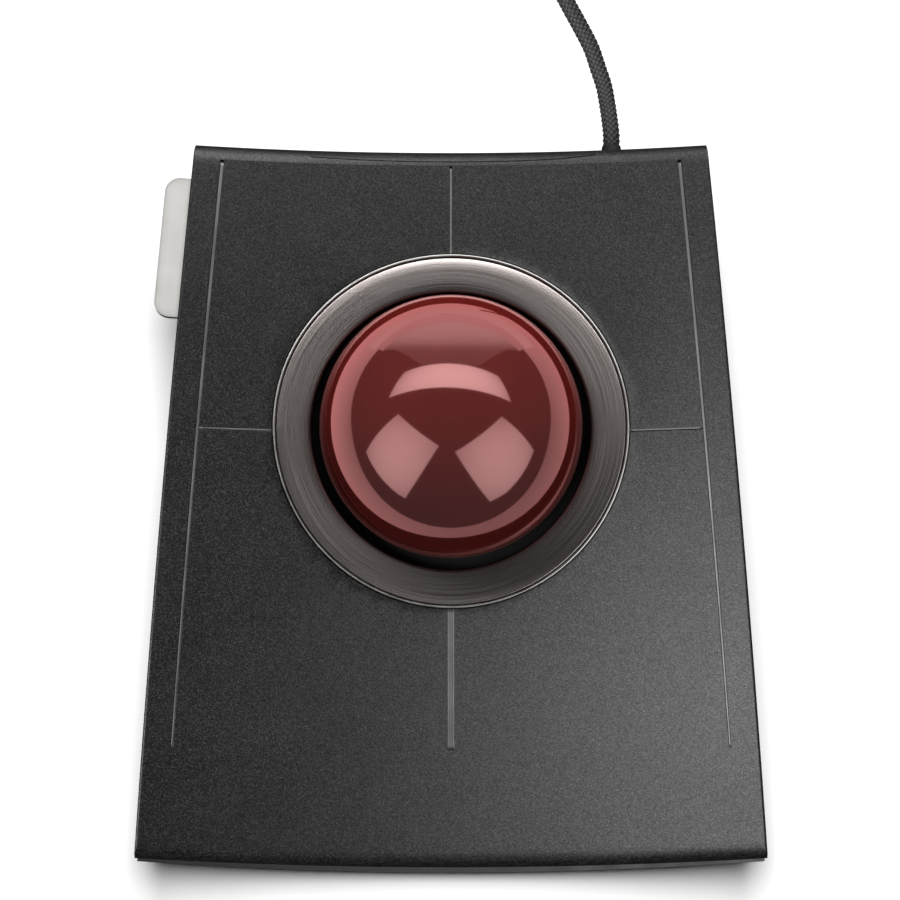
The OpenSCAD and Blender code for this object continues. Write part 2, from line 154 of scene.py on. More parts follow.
# ---- Shader helpers ----
class Shader:
    """A material and short calls to make and link its nodes."""

    def __init__(self, name):
        self.material = bpy.data.materials.new(name)
        self.material.use_nodes = True
        self.tree = self.material.node_tree
        self.bsdf = self.tree.nodes["Principled BSDF"]
        self.coords = self.tree.nodes.new("ShaderNodeTexCoord")

    def node(self, kind, **settings):
        node = self.tree.nodes.new(kind)
        for key, value in settings.items():
            setattr(node, key, value)
        return node

    def link(self, a, b):
        self.tree.links.new(a, b)

    def set(self, **values):
        for key, value in values.items():
            self.bsdf.inputs[key.replace("_", " ")].default_value = value

    def noise(self, scale, detail=2.0, roughness=0.5, vector=None):
        node = self.node("ShaderNodeTexNoise")
        node.inputs["Scale"].default_value = scale
        node.inputs["Detail"].default_value = detail
        node.inputs["Roughness"].default_value = roughness
        self.link(vector or self.coords.outputs["Object"], node.inputs["Vector"])
        return node.outputs["Fac"]

    def ramp(self, fac, stops):
        node = self.node("ShaderNodeValToRGB")
        ramp = node.color_ramp
        while len(ramp.elements) < len(stops):
            ramp.elements.new(0.5)
        for element, (at, colour) in zip(ramp.elements, stops):
            element.position = at
            element.color = (*colour, 1) if len(colour) == 3 else colour
        self.link(fac, node.inputs["Fac"])
        return node.outputs["Color"]

    def scale(self, fac, low, high, from_low=0.0, from_high=1.0):
        node = self.node("ShaderNodeMapRange")
        node.inputs["From Min"].default_value = from_low
        node.inputs["From Max"].default_value = from_high
        node.inputs["To Min"].default_value = low
        node.inputs["To Max"].default_value = high
        self.link(fac, node.inputs["Value"])
        return node.outputs["Result"]

    def bump(self, height, strength, distance, normal=None):
        node = self.node("ShaderNodeBump")
        node.inputs["Strength"].default_value = strength
        node.inputs["Distance"].default_value = distance
        self.link(height, node.inputs["Height"])
        if normal:
            self.link(normal, node.inputs["Normal"])
        return node.outputs["Normal"]


def grey(v):
    return (v, v, v)


def plain_finish(name, colour, rough=0.5, metallic=0.0, grain=900.0, bump=0.00003, spread=0.15):
    """A moulded or machined finish: fine grain in the bump, slow tone and sheen changes."""
    s = Shader(name)
    tone = s.noise(90, 4)
    low = tuple(c * (1 - spread) for c in colour)
    high = tuple(min(1, c * (1 + spread)) for c in colour)
    s.link(s.ramp(tone, [(0.35, low), (0.65, high)]), s.bsdf.inputs["Base Color"])
    sheen = s.scale(s.noise(260, 3), rough - 0.07, min(1, rough + 0.07), 0.3, 0.7)
    s.link(sheen, s.bsdf.inputs["Roughness"])
    s.link(s.bump(s.noise(grain, 3), 0.6, bump), s.bsdf.inputs["Normal"])
    s.set(Metallic=metallic)
    return s.material


def graphite(name, base=0.0035, fleck=0.042, rough=0.42):
    """Dark satin paint with fine metal flecks."""
    s = Shader(name)
    flecks = s.node("ShaderNodeTexVoronoi")
    flecks.inputs["Scale"].default_value = 6200
    s.link(s.coords.outputs["Object"], flecks.inputs["Vector"])
    pick = s.node("ShaderNodeSeparateColor")
    s.link(flecks.outputs["Color"], pick.inputs["Color"])
    colour = s.ramp(pick.outputs["Red"], [(0.0, grey(base * 0.3)), (0.6, grey(base)), (1.0, grey(fleck))])
    s.link(colour, s.bsdf.inputs["Base Color"])
    s.link(s.scale(pick.outputs["Green"], 0.0, 0.5), s.bsdf.inputs["Metallic"])
    s.link(s.scale(s.noise(70, 4), rough - 0.03, rough + 0.03, 0.3, 0.7), s.bsdf.inputs["Roughness"])
    s.link(s.bump(s.noise(5200, 2), 1.0, 0.00003), s.bsdf.inputs["Normal"])
    return s.material


paint = graphite("graphite_paint")
groove_liner = plain_finish("groove_liner", (0.12, 0.12, 0.12), 0.5, 0.6, 2500, 0.000006, 0.2)
rib_grey = plain_finish("rib_grey", (0.08, 0.08, 0.08), 0.5, 0.5, 2500, 0.000006, 0.2)
black_plastic = plain_finish("black_plastic", (0.012, 0.012, 0.0125), 0.55, 0, 1500, 0.00006)
under_plastic = plain_finish("under_plastic", (0.02, 0.02, 0.021), 0.7, 0, 1100, 0.00004)


def ring_finish():
    """Metal turned with fine concentric lines round the object's own origin."""
    s = Shader("brushed_ring")
    split = s.node("ShaderNodeSeparateXYZ")
    s.link(s.coords.outputs["Object"], split.inputs["Vector"])
    flat = s.node("ShaderNodeCombineXYZ")
    s.link(split.outputs["X"], flat.inputs["X"])
    s.link(split.outputs["Y"], flat.inputs["Y"])
    length = s.node("ShaderNodeVectorMath", operation="LENGTH")
    s.link(flat.outputs["Vector"], length.inputs[0])
    angle = s.node("ShaderNodeMath", operation="ARCTAN2")
    s.link(split.outputs["Y"], angle.inputs[0])
    s.link(split.outputs["X"], angle.inputs[1])
    polar = s.node("ShaderNodeCombineXYZ")
    radius = s.node("ShaderNodeMath", operation="MULTIPLY")
    radius.inputs[1].default_value = 9000
    s.link(length.outputs["Value"], radius.inputs[0])
    s.link(radius.outputs["Value"], polar.inputs["X"])
    s.link(angle.outputs["Value"], polar.inputs["Y"])
    lines = s.noise(1.0, 3, 0.6, polar.outputs["Vector"])
    colour = s.ramp(lines, [(0.3, (0.085, 0.076, 0.073)), (0.7, (0.125, 0.112, 0.108))])
    s.link(colour, s.bsdf.inputs["Base Color"])
    s.link(s.scale(lines, 0.21, 0.33, 0.3, 0.7), s.bsdf.inputs["Roughness"])
    s.link(s.bump(lines, 0.25, 0.00001), s.bsdf.inputs["Normal"])
    tangent = s.node("ShaderNodeTangent", direction_type="RADIAL", axis="Z")
    s.link(tangent.outputs["Tangent"], s.bsdf.inputs["Tangent"])
    s.set(Metallic=1.0, Anisotropic=0.5)
    return s.material


def ball_finish():
    """Deep red polished resin with faint depth."""
    s = Shader("ball_resin")
    cloud = s.noise(60, 3)
    colour = s.ramp(cloud, [(0.3, (0.025, 0.0016, 0.0014)), (0.7, (0.032, 0.0022, 0.0018))])
    s.link(colour, s.bsdf.inputs["Base Color"])
    bump = s.bump(s.noise(220, 2), 0.05, 0.00001)
    s.link(bump, s.bsdf.inputs["Normal"])
    s.set(Specular_IOR_Level=0.0, Roughness=1.0)
    polish = s.node("ShaderNodeBsdfPrincipled")
    polish.inputs["Base Color"].default_value = (0.185, 0.094, 0.092, 1)
    polish.inputs["Specular Tint"].default_value = (0.7, 0.5, 0.5, 1)
    polish.inputs["Metallic"].default_value = 1.0
    s.link(s.scale(s.noise(500, 2), 0.05, 0.08), polish.inputs["Roughness"])
    s.link(bump, polish.inputs["Normal"])
    both = s.node("ShaderNodeAddShader")
    s.link(s.bsdf.outputs["BSDF"], both.inputs[0])
    s.link(polish.outputs["BSDF"], both.inputs[1])
    s.link(both.outputs["Shader"], s.tree.nodes["Material Output"].inputs["Surface"])
    return s.material


def braid_finish():
    """Woven sleeve: the mesh gives the strands, the shader their threads, and painted shade darkens the
    valleys between the strands.
    """
    s = Shader("braid")
    weave = s.node("ShaderNodeAttribute", attribute_name="weave")
    threads = s.noise(2600, 3)
    # painted shade: the colour follows the weave height, dark in the valleys between strands and pale on
    # their crests
    colour = s.ramp(weave.outputs["Fac"], [(0.15, grey(0.001)), (0.6, grey(0.01)), (1.0, grey(0.065))])
    s.link(colour, s.bsdf.inputs["Base Color"])
    s.link(s.scale(threads, 0.5, 0.8), s.bsdf.inputs["Roughness"])
    s.link(s.bump(threads, 0.5, 0.00005), s.bsdf.inputs["Normal"])
    return s.material


def tag_finish():
    """Pale matt metal, with painted shade darkening it along its rounded rim."""
    s = Shader("tag_metal")
    # how far it stands out, half its length, its corners' radius and its middle
    out, half, corner, middle_y = 0.0058, 0.0152, 0.0032, 0.0537
    place = s.node("ShaderNodeMapping", vector_type="TEXTURE")
    place.inputs["Location"].default_value = (-half_width(middle_y), middle_y, 0)
    place.inputs["Rotation"].default_value = (0, 0, -math.atan((FRONT_W - BACK_W) / 2 / BODY_LEN))
    s.link(s.node("ShaderNodeTexCoord").outputs["Object"], place.inputs["Vector"])
    vector = place.outputs["Vector"]
    steps = (("ABSOLUTE", None), ("SUBTRACT", (out - corner, half - corner, 1)), ("MAXIMUM", (0, 0, 0)))
    for operation, value in steps:
        step = s.node("ShaderNodeVectorMath", operation=operation)
        s.link(vector, step.inputs[0])
        if value:
            step.inputs[1].default_value = value
        vector = step.outputs["Vector"]
    from_corner = s.node("ShaderNodeVectorMath", operation="LENGTH")
    s.link(vector, from_corner.inputs[0])
    rim = s.node("ShaderNodeMapRange")
    rim.inputs["From Max"].default_value = corner
    s.link(from_corner.outputs["Value"], rim.inputs["Value"])
    # painted shade: the colour is multiplied darker towards the rim, where the tag's rounded edge turns away
    # from the light
    painted_rim_shade = s.node("ShaderNodeMix", data_type="RGBA", blend_type="MULTIPLY")
    painted_rim_shade.inputs["Factor"].default_value = 1.0
    metal = s.ramp(s.noise(90, 3), [(0.35, (0.143, 0.139, 0.131)), (0.65, (0.153, 0.149, 0.141))])
    s.link(metal, painted_rim_shade.inputs["A"])
    shade = s.ramp(rim.outputs["Result"], [(0.45, grey(1.0)), (0.8, grey(0.88)), (1.0, grey(0.5))])
    s.link(shade, painted_rim_shade.inputs["B"])
    s.link(painted_rim_shade.outputs["Result"], s.bsdf.inputs["Base Color"])
    s.link(s.scale(s.noise(260, 3), 0.45, 0.6), s.bsdf.inputs["Roughness"])
    s.link(s.bump(s.noise(2600, 3), 0.6, 0.000008), s.bsdf.inputs["Normal"])
    return s.material


# ---- Cord: the free stretch, the coil and the tail ----
FREE_POINTS = [
    (35.5, 82, 6), (35.5, 85, 5.8), (35.2, 89, 4.6), (34.8, 93, 3), (34.2, 97, 2.1),
    (33, 101, 1.9), (31.4, 106, 1.9), (29, 111, 1.9), (26.4, 116, 1.9), (24, 121, 1.9),
    (22.2, 126, 1.9), (20.8, 131, 1.9), (20.1, 136, 1.9), (20, 141, 1.9), (20, 146, 1.9),
    (20, 151, 1.9),
]
TAIL_POINTS = [
    (-7.8, 178.8, 13.3), (-13, 178.8, 13.3), (-18, 178.8, 12.8), (-23, 178.8, 11),
    (-28, 178.8, 8.8), (-33, 178.8, 6.5), (-38, 178.8, 4.9), (-43, 178.8, 4.1),
    (-46, 178.8, 4),
]
COIL_CENTRE = (-7.8, 151)
COIL_R = 24
COIL_SPAN = 11.25
COIL_SHIFT = 70 / 360
CORD_MM = 3.8


def smoothstep(t):
    t = min(1, max(0, t))
    return t * t * (3 - 2 * t)


def coil_slot(turn):
    """Radius and height of a whole turn: three beside each other, then the next layer."""
    layer, place = divmod(turn, 3)
    ring = place if layer % 2 == 0 else 2 - place
    return COIL_R + CORD_MM * (1 - ring), CORD_MM * (layer + 0.5)


def coil_point(turns):
    turn = int(min(turns, COIL_SPAN - 1e-9))
    r0, z0 = coil_slot(turn)
    r1, z1 = coil_slot(turn + 1)
    part = smoothstep((turns - turn - (1 - COIL_SHIFT)) / COIL_SHIFT) if turn < 11 else 0
    r, z = r0 + (r1 - r0) * part, z0 + (z1 - z0) * part
    a = 2 * math.pi * turns
    return COIL_CENTRE[0] + r * math.cos(a), COIL_CENTRE[1] + r * math.sin(a), z


coil_points = [coil_point(COIL_SPAN * i / 540) for i in range(1, 540)]
route = np.array(FREE_POINTS + coil_points + TAIL_POINTS) * MM


def spline(points, step, fine=0, fine_step=None):
    """Points every step along a smooth curve through the given ones, closer in its first few spans."""
    p = np.vstack([2 * points[0] - points[1], points, 2 * points[-1] - points[-2]])
    out = []
    for i in range(1, len(p) - 2):
        n = max(1, int(round(np.linalg.norm(p[i + 1] - p[i]) / (fine_step if i <= fine else step))))
        for t in np.arange(n) / n:
            out.append(0.5 * (2 * p[i] + (p[i + 1] - p[i - 1]) * t
                              + (2 * p[i - 1] - 5 * p[i] + 4 * p[i + 1] - p[i + 2]) * t * t
                              + (3 * p[i] - p[i - 1] - 3 * p[i + 1] + p[i + 2]) * t**3))
    out.append(points[-1])
    return np.array(out)


def sweep_frames(path):
    """Unit tangent and two unit normals at each point, the first as level as it can be."""
    along = np.gradient(path, axis=0)
    along /= np.linalg.norm(along, axis=1)[:, None]
    across = np.cross(along, [0, 0, 1.0])
    across /= np.linalg.norm(across, axis=1)[:, None]
    return along, across, np.cross(across, along)


STRANDS = 8
PITCH = 0.0105
VALLEY_SINK = 0.00046
STRAND_RISE = 0.0005


def braided_cord(path, sides=32):
    _, across, up = sweep_frames(path)
    s = np.concatenate([[0], np.cumsum(np.linalg.norm(np.diff(path, axis=0), axis=1))])
    theta = np.arange(sides) * 2 * math.pi / sides
    a = STRANDS * (theta[None, :] + 2 * math.pi * s[:, None] / PITCH) / 2
    b = STRANDS * (theta[None, :] - 2 * math.pi * s[:, None] / PITCH) / 2
    over = 0.5 + 0.5 * np.sin(a) * np.sin(b)
    weave = np.clip(over * np.abs(np.cos(a)) + (1 - over) * np.abs(np.cos(b)), 0, 1)
    radius = CORD_D / 2 - VALLEY_SINK + STRAND_RISE * weave
    ring = np.cos(theta)[None, :, None] * across[:, None, :] + np.sin(theta)[None, :, None] * up[:, None, :]
    verts = (path[:, None, :] + radius[:, :, None] * ring).reshape(-1, 3)
    n = len(path)
    faces = grid_faces(n, sides)
    faces += [tuple(range(sides))[::-1], tuple((n - 1) * sides + k for k in range(sides))]
    obj = make_mesh("cord_sleeve", verts, [f[::-1] for f in faces], braid_finish())
    # the weave height is kept on the mesh for the braid's painted shade in its valleys
    layer = obj.data.attributes.new("weave", "FLOAT", "POINT")
    layer.data.foreach_set("value", weave.reshape(-1).astype(np.float32))
    return obj


# points are closer together along the stretch that is seen
CORD_STEP = 0.00042
SEEN_SPANS = 13
SEEN_STEP = 0.00014
cord_path = spline(route, CORD_STEP, SEEN_SPANS, SEEN_STEP)
cord_length = float(np.sum(np.linalg.norm(np.diff(cord_path, axis=0), axis=1)))
print("cord length", round(cord_length, 4), "points", len(cord_path))
cord = braided_cord(cord_path)
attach(cord, "housing")
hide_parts("cord", "cord_coil", "cord_tail")


# ---- Plate, buttons and rear panel ----
def drop(distance, radius):
    """How far a rolled edge has fallen at a distance in from the edge."""
    inside = np.clip(radius - distance, 0, radius)
    return radius - np.sqrt(np.maximum(radius**2 - inside**2, 0))


def stations(length, step, fine):
    """Fractions along a side, closer together near its ends."""
    near = [0.0] + [f for f in fine if f < 0.3 * length]
    count = max(1, int(round((length - 2 * near[-1]) / step)))
    middle = [near[-1] + (length - 2 * near[-1]) * i / count for i in range(count + 1)]
    positions = near[:-1] + middle + [length - f for f in near[:-1]][::-1]
    return [p / length for p in positions]


def side_points(a, b, fractions):
    """Points from a towards b, without the last, where the next side begins."""
    return [(a[0] + (b[0] - a[0]) * f, a[1] + (b[1] - a[1]) * f) for f in fractions[:-1]]


# Mesh spacing over the plate and round its openings, and distances from a corner where it is closer
PLATE_STEP = 0.0022
OPENING_STEP = 0.002
FINE = [0.00005, 0.00011, 0.00018, 0.00027, 0.0004, 0.0007, 0.0012]
BROAD = [0.00005, 0.0001, 0.0002, 0.0004, 0.0007, 0.0011, 0.0017, 0.0025, 0.0036, 0.005]


def front_edge_y(x, inset=0.0):
    bow_r = ((FRONT_W / 2) ** 2 + FRONT_BOW**2) / (2 * FRONT_BOW)
    return bow_r - BODY_LEN / 2 + inset - np.sqrt(bow_r**2 - x**2)


def outline_loop(side, front, rear):
    """The plate's outline, drawn in by the given amounts, anticlockwise from the front left."""
    y1 = BODY_LEN / 2 - rear
    x1 = half_width(y1) - side
    y0 = -BODY_LEN / 2 + front + FRONT_BOW
    x0 = half_width(y0) - side
    n = stations(FRONT_W, PLATE_STEP, BROAD)
    loop = []
    for f in n[:-1]:
        x = -x0 + 2 * x0 * f
        loop.append((x, float(front_edge_y(x * (FRONT_W / 2) / x0, front))))
    m = stations(BODY_LEN, PLATE_STEP, BROAD)
    loop += side_points((x0, y0), (x1, y1), m)
    loop += side_points((x1, y1), (-x1, y1), stations(BACK_W, PLATE_STEP, BROAD))
    loop += side_points((-x1, y1), (-x0, y0), m)
    return loop


def turned(loops, anticlockwise=True):
    """The loops, each running the way round that is asked for."""
    p = np.array(loops[0])
    q = np.roll(p, -1, axis=0)
    area = np.sum(p[:, 0] * q[:, 1] - q[:, 0] * p[:, 1])
    return loops if (area > 0) == anticlockwise else [loop[::-1] for loop in loops]


def inside(points, loop):
    """Even-odd test of many points against one loop."""
    x, y = points[:, 0], points[:, 1]
    result = np.zeros(len(points), bool)
    loop = np.asarray(loop)
    for (xa, ya), (xb, yb) in zip(loop, np.roll(loop, -1, axis=0)):
        crosses = (ya > y) != (yb > y)
        if ya != yb:
            result ^= crosses & (x < (xb - xa) * (y - ya) / (yb - ya) + xa)
    return result


def rows_with_bands(lo, hi, spacing, bands):
    """Positions from lo to hi, closer together inside the bands, each (start, end, spacing)."""
    positions, y = [], lo + spacing / 2
    while y < hi:
        positions.append(y)
        step = min([spacing] + [fine for a, b, fine in bands if a - spacing < y < b])
        y += step
    return positions


def clearance(points, loop):
    """Distance of many points from a closed loop."""
    a = np.asarray(loop)
    d = np.roll(a, -1, axis=0) - a
    long = np.maximum((d**2).sum(1), 1e-18)
    t = np.clip(((points[:, None, :] - a[None]) * d[None]).sum(2) / long, 0, 1)
    return np.sqrt(((points[:, None, :] - a[None] - t[..., None] * d[None]) ** 2).sum(2)).min(1)


# the narrowest triangle kept, how near inner points come to an edge, in spacings, and a plate's least height
NARROWEST = 2e-7
CLEAR_SHARE = 0.42
THINNEST = 0.0003


def triangulate(loops, cloud):
    """Triangles, anticlockwise, that fill the first loop outside the others, and the points they use.

    Works in millimetres, so that points along a straight edge count as in line.
    """
    points = [Vector((x / MM, y / MM)) for loop in (*loops, cloud) for x, y in loop]
    edges, at = [], 0
    for loop in loops:
        edges += [(at + i, at + (i + 1) % len(loop)) for i in range(len(loop))]
        at += len(loop)
    out, _, tris, origin, _, _ = delaunay_2d_cdt(points, edges, [], 0, 1e-4)
    flat = np.array([tuple(p) for p in out]) * MM
    tris = np.array(tris)
    a, b, c = (flat[tris[:, k]] for k in range(3))
    area = (b[:, 0] - a[:, 0]) * (c[:, 1] - a[:, 1]) - (b[:, 1] - a[:, 1]) * (c[:, 0] - a[:, 0])
    sides = [((q - p) ** 2).sum(1) for p, q in ((a, b), (b, c), (c, a))]
    keep = inside((a + b + c) / 3, loops[0]) & (np.abs(area) / np.sqrt(np.max(sides, axis=0)) > NARROWEST)
    for loop in loops[1:]:
        keep &= ~inside((a + b + c) / 3, loop)
    tris = np.where(area[:, None] > 0, tris, tris[:, ::-1])[keep]
    return flat, tris, origin, at


def slab(name, families, height, thickness, materials, spacing=PLATE_STEP, edge_rings=2, bands=()):
    """A closed shell plate.

    Each family is a list of loops going inwards from an edge: the first family is the outer edge, the
    others are holes. height(x, y) gives the top surface, and the underside is the saddle, lower by
    thickness. The materials are for the top, its first edge_rings rings, and the walls and underside.
    Points lie spacing apart, closer inside the bands.
    """
    verts, faces, marks = [], [], []
    inner_starts, outer_starts = [], []
    for family in families:
        n = len(family[0])
        start = len(verts)
        for loop in family:
            xy = np.array(loop)
            z = height(xy[:, 0], xy[:, 1])
            verts += [(x, y, h) for (x, y), h in zip(xy, z)]
        rows = len(family)
        quads = grid_faces(rows, n, True, False, start)
        faces += quads
        marks += [1 if (q[0] - start) // n < edge_rings else 0 for q in quads]
        outer_starts.append((start, n))
        inner_starts.append((start + (rows - 1) * n, n))
    # fill the middle
    loops = [np.array([verts[s + i][:2] for i in range(n)]) for s, n in inner_starts]
    lo, hi = loops[0].min(0), loops[0].max(0)
    gx = np.arange(lo[0] + spacing / 2, hi[0], spacing)
    gy = rows_with_bands(lo[1], hi[1], spacing, bands)
    cloud = np.array([(x + (spacing / 2 if i % 2 else 0), y) for i, y in enumerate(gy) for x in gx])
    cloud = cloud[inside(cloud, loops[0])]
    for loop in loops[1:]:
        cloud = cloud[~inside(cloud, loop)]
    for loop in loops:
        wanted = np.full(len(cloud), spacing * CLEAR_SHARE)
        for a, b, fine in bands:
            wanted[(cloud[:, 1] > a) & (cloud[:, 1] < b)] = fine * CLEAR_SHARE
        cloud = cloud[clearance(cloud, loop) > wanted]
    flat, tris, origin, border = triangulate(loops, cloud)
    ids = [s + i for s, n in inner_starts for i in range(n)]
    index = {}
    z = height(flat[:, 0], flat[:, 1])
    for i, p in enumerate(flat):
        known = [o for o in origin[i] if o < border]
        if known:
            index[i] = ids[known[0]]
        else:
            index[i] = len(verts)
            verts.append((p[0], p[1], z[i]))
    faces += [tuple(index[v] for v in t) for t in tris]
    marks += [0] * len(tris)
    # walls and underside
    under = {}
    for s, n in outer_starts:
        for i in range(n):
            x, y, zz = verts[s + i]
            under[s + i] = len(verts)
            verts.append((x, y, min(zz - THINNEST, float(saddle(x, y)) - thickness)))
    for s, n in outer_starts:
        for i in range(n):
            a, b = s + i, s + (i + 1) % n
            faces.append((b, a, under[a], under[b]))
            marks.append(2)
    under_loops = [[verts[s + i][:2] for i in range(n)] for s, n in outer_starts]
    ids_under = [under[s + i] for s, n in outer_starts for i in range(n)]
    flat, tris, origin, border = triangulate(under_loops, [])
    faces += [tuple(ids_under[origin[v][0]] for v in t[::-1]) for t in tris]
    marks += [2] * len(tris)
    obj = make_mesh(name, verts, faces)
    for m in materials:
        obj.data.materials.append(m)
    obj.data.polygons.foreach_set("material_index", marks)
    obj.data.polygons.foreach_set("use_smooth", [m < 2 for m in marks])
    return obj


def profile(radius, steps):
    """Insets of the rings that a quarter-round edge needs."""
    return [radius * (1 - math.cos(math.pi / 2 * k / steps)) for k in range(steps + 1)]


def cover_height(x, y):
    back = BODY_LEN / 2 - y
    side = half_width(y) - np.abs(x)
    front = y - front_edge_y(x)
    fall = np.maximum(drop(back, BACK_ROLL), np.maximum(drop(side, SIDE_ROLL), drop(front, FRONT_ROLL)))
    return saddle(x, y) - fall


# The plate's edge rings take these shares of the quarter turn of its rolled sides, front and back,
# and one more ring supports them
EDGE_STEPS = 8
EDGE_SHARES = ((SIDE_ROLL, 1), (FRONT_ROLL, 0.58), (BACK_ROLL, 0.40))
SUPPORT = 0.00025
outer = []
for k in range(EDGE_STEPS + 1):
    turn = math.pi / 2 * k / EDGE_STEPS
    insets = [roll * (1 - math.cos(turn * share)) for roll, share in EDGE_SHARES]
    outer.append(outline_loop(*insets))
outer.append(outline_loop(*[i + SUPPORT for i in insets]))
EDGE_BANDS = [(-BODY_LEN / 2, -BODY_LEN / 2 + 0.0065, 0.0006), (BODY_LEN / 2 - 0.0058, BODY_LEN / 2, 0.0006)]


def opening_loop(grow):
    y0, y1 = FRONT_HINGE_Y - grow, REAR_HINGE_Y + grow
    x0 = groove_edge(FRONT_HINGE_Y, 1) + grow
    x1 = groove_edge(REAR_HINGE_Y, 1) + grow
    length = y1 - y0
    loop = side_points((-x0, y0), (x0, y0), stations(2 * x0, OPENING_STEP, FINE))
    loop += side_points((x0, y0), (x1, y1), stations(length, OPENING_STEP, FINE))
    loop += side_points((x1, y1), (-x1, y1), stations(2 * x1, OPENING_STEP, FINE))
    loop += side_points((-x1, y1), (-x0, y0), stations(length, OPENING_STEP, FINE))
    return loop


SEAM_START = -0.030
SEAM_END = 0.031
SEAM_Y = 0.0731
SEAM_HOOK = 0.020
SEAM_HALF = 0.00009
SEAM_WIDENS = 0.00004


def seam_y(x):
    """The fine gap across the back of the plate, which bends back beyond SEAM_HOOK."""
    hook = 0.0010 * ((x - SEAM_HOOK) / 0.015) ** 2 if x > SEAM_HOOK else 0
    return SEAM_Y + 0.0007 * (x / 0.030) ** 2 + hook


def seam_loop(grow, count=48):
    span = SEAM_END - SEAM_START
    xs = [SEAM_START + span * (0.5 - 0.5 * math.cos(math.pi * i / count)) for i in range(count + 1)]
    width = lambda x: SEAM_HALF + SEAM_WIDENS * (x - SEAM_START) / span
    low = [(x, seam_y(x) - width(x) - grow) for x in xs]
    high = [(x, seam_y(x) + width(x) + grow) for x in xs[::-1]]
    low[0], high[-1] = (low[0][0] - grow, low[0][1]), (high[-1][0] - grow, high[-1][1])
    low[-1], high[0] = (low[-1][0] + grow, low[-1][1]), (high[0][0] + grow, high[0][1])
    return low + high


seam = [seam_loop(g) for g in (0, 0.00004, 0.0001)]


def plate_height(x, y):
    groove = np.abs(x) - groove_edge(y, 1)
    beside = 0.0002
    near = (y > FRONT_HINGE_Y - beside) & (y < REAR_HINGE_Y + beside)
    fall = np.where(near, drop(np.maximum(groove, 0), GROOVE_BEVEL), 0)
    return cover_height(x, y) - np.where(groove > -1e-6, fall, 0)


GROOVE_RINGS = profile(GROOVE_BEVEL, 3) + [GROOVE_BEVEL + 0.00008]
hole = [opening_loop(g) for g in GROOVE_RINGS]
cover = slab("cover_plate", [turned(outer), turned(hole, False), turned(seam, False)],
             plate_height, SKIN, [paint, paint, under_plastic], bands=EDGE_BANDS)
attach(cover, "housing")
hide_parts("top_cover", "rear_panel")

ARC_STEPS = 48


def button_loop(front, inset):
    """The right-hand button's plan, drawn in, anticlockwise."""
    r = RING_R + RING_GAP + inset
    middle = (SLOT_W if front else GROOVE_W) / 2 + inset
    split = SPLIT_Y - GROOVE_W / 2 - inset if front else SPLIT_Y + GROOVE_W / 2 + inset
    hinge = FRONT_HINGE_Y + inset if front else REAR_HINGE_Y - inset
    groove = lambda y: groove_edge(y, -1) - inset
    a0 = math.asin((split - RING_Y) / r)
    a1 = math.acos(middle / r)
    if front:
        a1 = -a1
    angles = [a0 + (a1 - a0) * i / ARC_STEPS for i in range(ARC_STEPS + 1)]
    arc = [(r * math.cos(a), RING_Y + r * math.sin(a)) for a in angles]
    corner_in = (middle, arc[-1][1])
    corner_hinge = (middle, hinge)
    corner_groove = (groove(hinge), hinge)
    corner_split = (groove(split), split)
    # the lengths are rough, because they only set how many points a side gets
    loop = arc[:-1]
    loop += side_points(corner_in, corner_hinge, stations(0.02, OPENING_STEP, FINE))
    loop += side_points(corner_hinge, corner_groove, stations(0.054, OPENING_STEP, FINE))
    loop += side_points(corner_groove, corner_split, stations(0.06, OPENING_STEP, FINE))
    loop += side_points(corner_split, arc[0], stations(0.017, OPENING_STEP, FINE))
    return loop


def button_height(front):
    def height(x, y):
        x = np.abs(x)
        ring = np.hypot(x, y - RING_Y) - RING_R - RING_GAP
        slot = x - (SLOT_W if front else GROOVE_W) / 2
        groove = groove_edge(y, -1) - x
        split = (SPLIT_Y - GROOVE_W / 2 - y) if front else (y - SPLIT_Y - GROOVE_W / 2)
        fall = drop(np.maximum(ring, 0), RING_BEVEL)
        for d in (slot, groove, split):
            fall = np.maximum(fall, drop(np.maximum(d, 0), GROOVE_BEVEL))
        return saddle(x, y) - fall
    return height


for front in (True, False):
    for side in (-1, 1):
        name = f"button_{'front' if front else 'rear'}_{'right' if side > 0 else 'left'}"
        rings = [button_loop(front, g) for g in GROOVE_RINGS]
        rings = turned([[(side * x, y) for x, y in loop] for loop in rings])
        panel = slab(name + "_panel", [rings], button_height(front), SKIN, [paint, paint, under_plastic])
        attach(panel, name)
        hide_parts(name)


# ---- Ring ----
def lathe_on_saddle(name, rows, material, count=360):
    """A ring turned round its own origin. Rows are (radius, height above the saddle)."""
    theta = np.arange(count) * 2 * math.pi / count
    verts = []
    for row in rows:
        x, y = row[0] * np.cos(theta), RING_Y + row[0] * np.sin(theta)
        verts += list(zip(x, y - RING_Y, saddle(x, y) + row[1]))
    faces = grid_faces(len(rows), count, True, True)
    obj = make_mesh(name, verts, faces, material)
    obj.location = (0, RING_Y, 0)
    return obj


ring_rows = [
    (0.0294, -0.0006), (0.0293, -0.0012), (0.0293, -0.003), (0.0300, -0.003), (0.0370, -0.0024),
    (0.0370, -0.0005), (0.0369, -0.00028), (0.0366, -0.0002), (0.0345, -0.00015), (0.0320, -0.0002),
    (0.0303, -0.00022), (0.0298, -0.0003), (0.0295, -0.00042),
]
ring = lathe_on_saddle("bezel_face", ring_rows[::-1], ring_finish())
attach(ring, "housing")
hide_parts("bezel_ring")
lip_finish = plain_finish("bright_lip", (0.16, 0.155, 0.15), 0.4, 1.0, 3000, 0.000004, 0.05)
lip_rows = [
    (0.0370, -0.0016), (0.0376, -0.0016), (0.0376, 0.00005), (0.03755, 0.00018), (0.0374, 0.00025),
    (0.0372, 0.00023), (0.03705, 0.00012), (0.0370, -0.0001),
]
lip = lathe_on_saddle("bezel_lip", lip_rows, lip_finish)
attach(lip, "housing")
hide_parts("ring_trim")


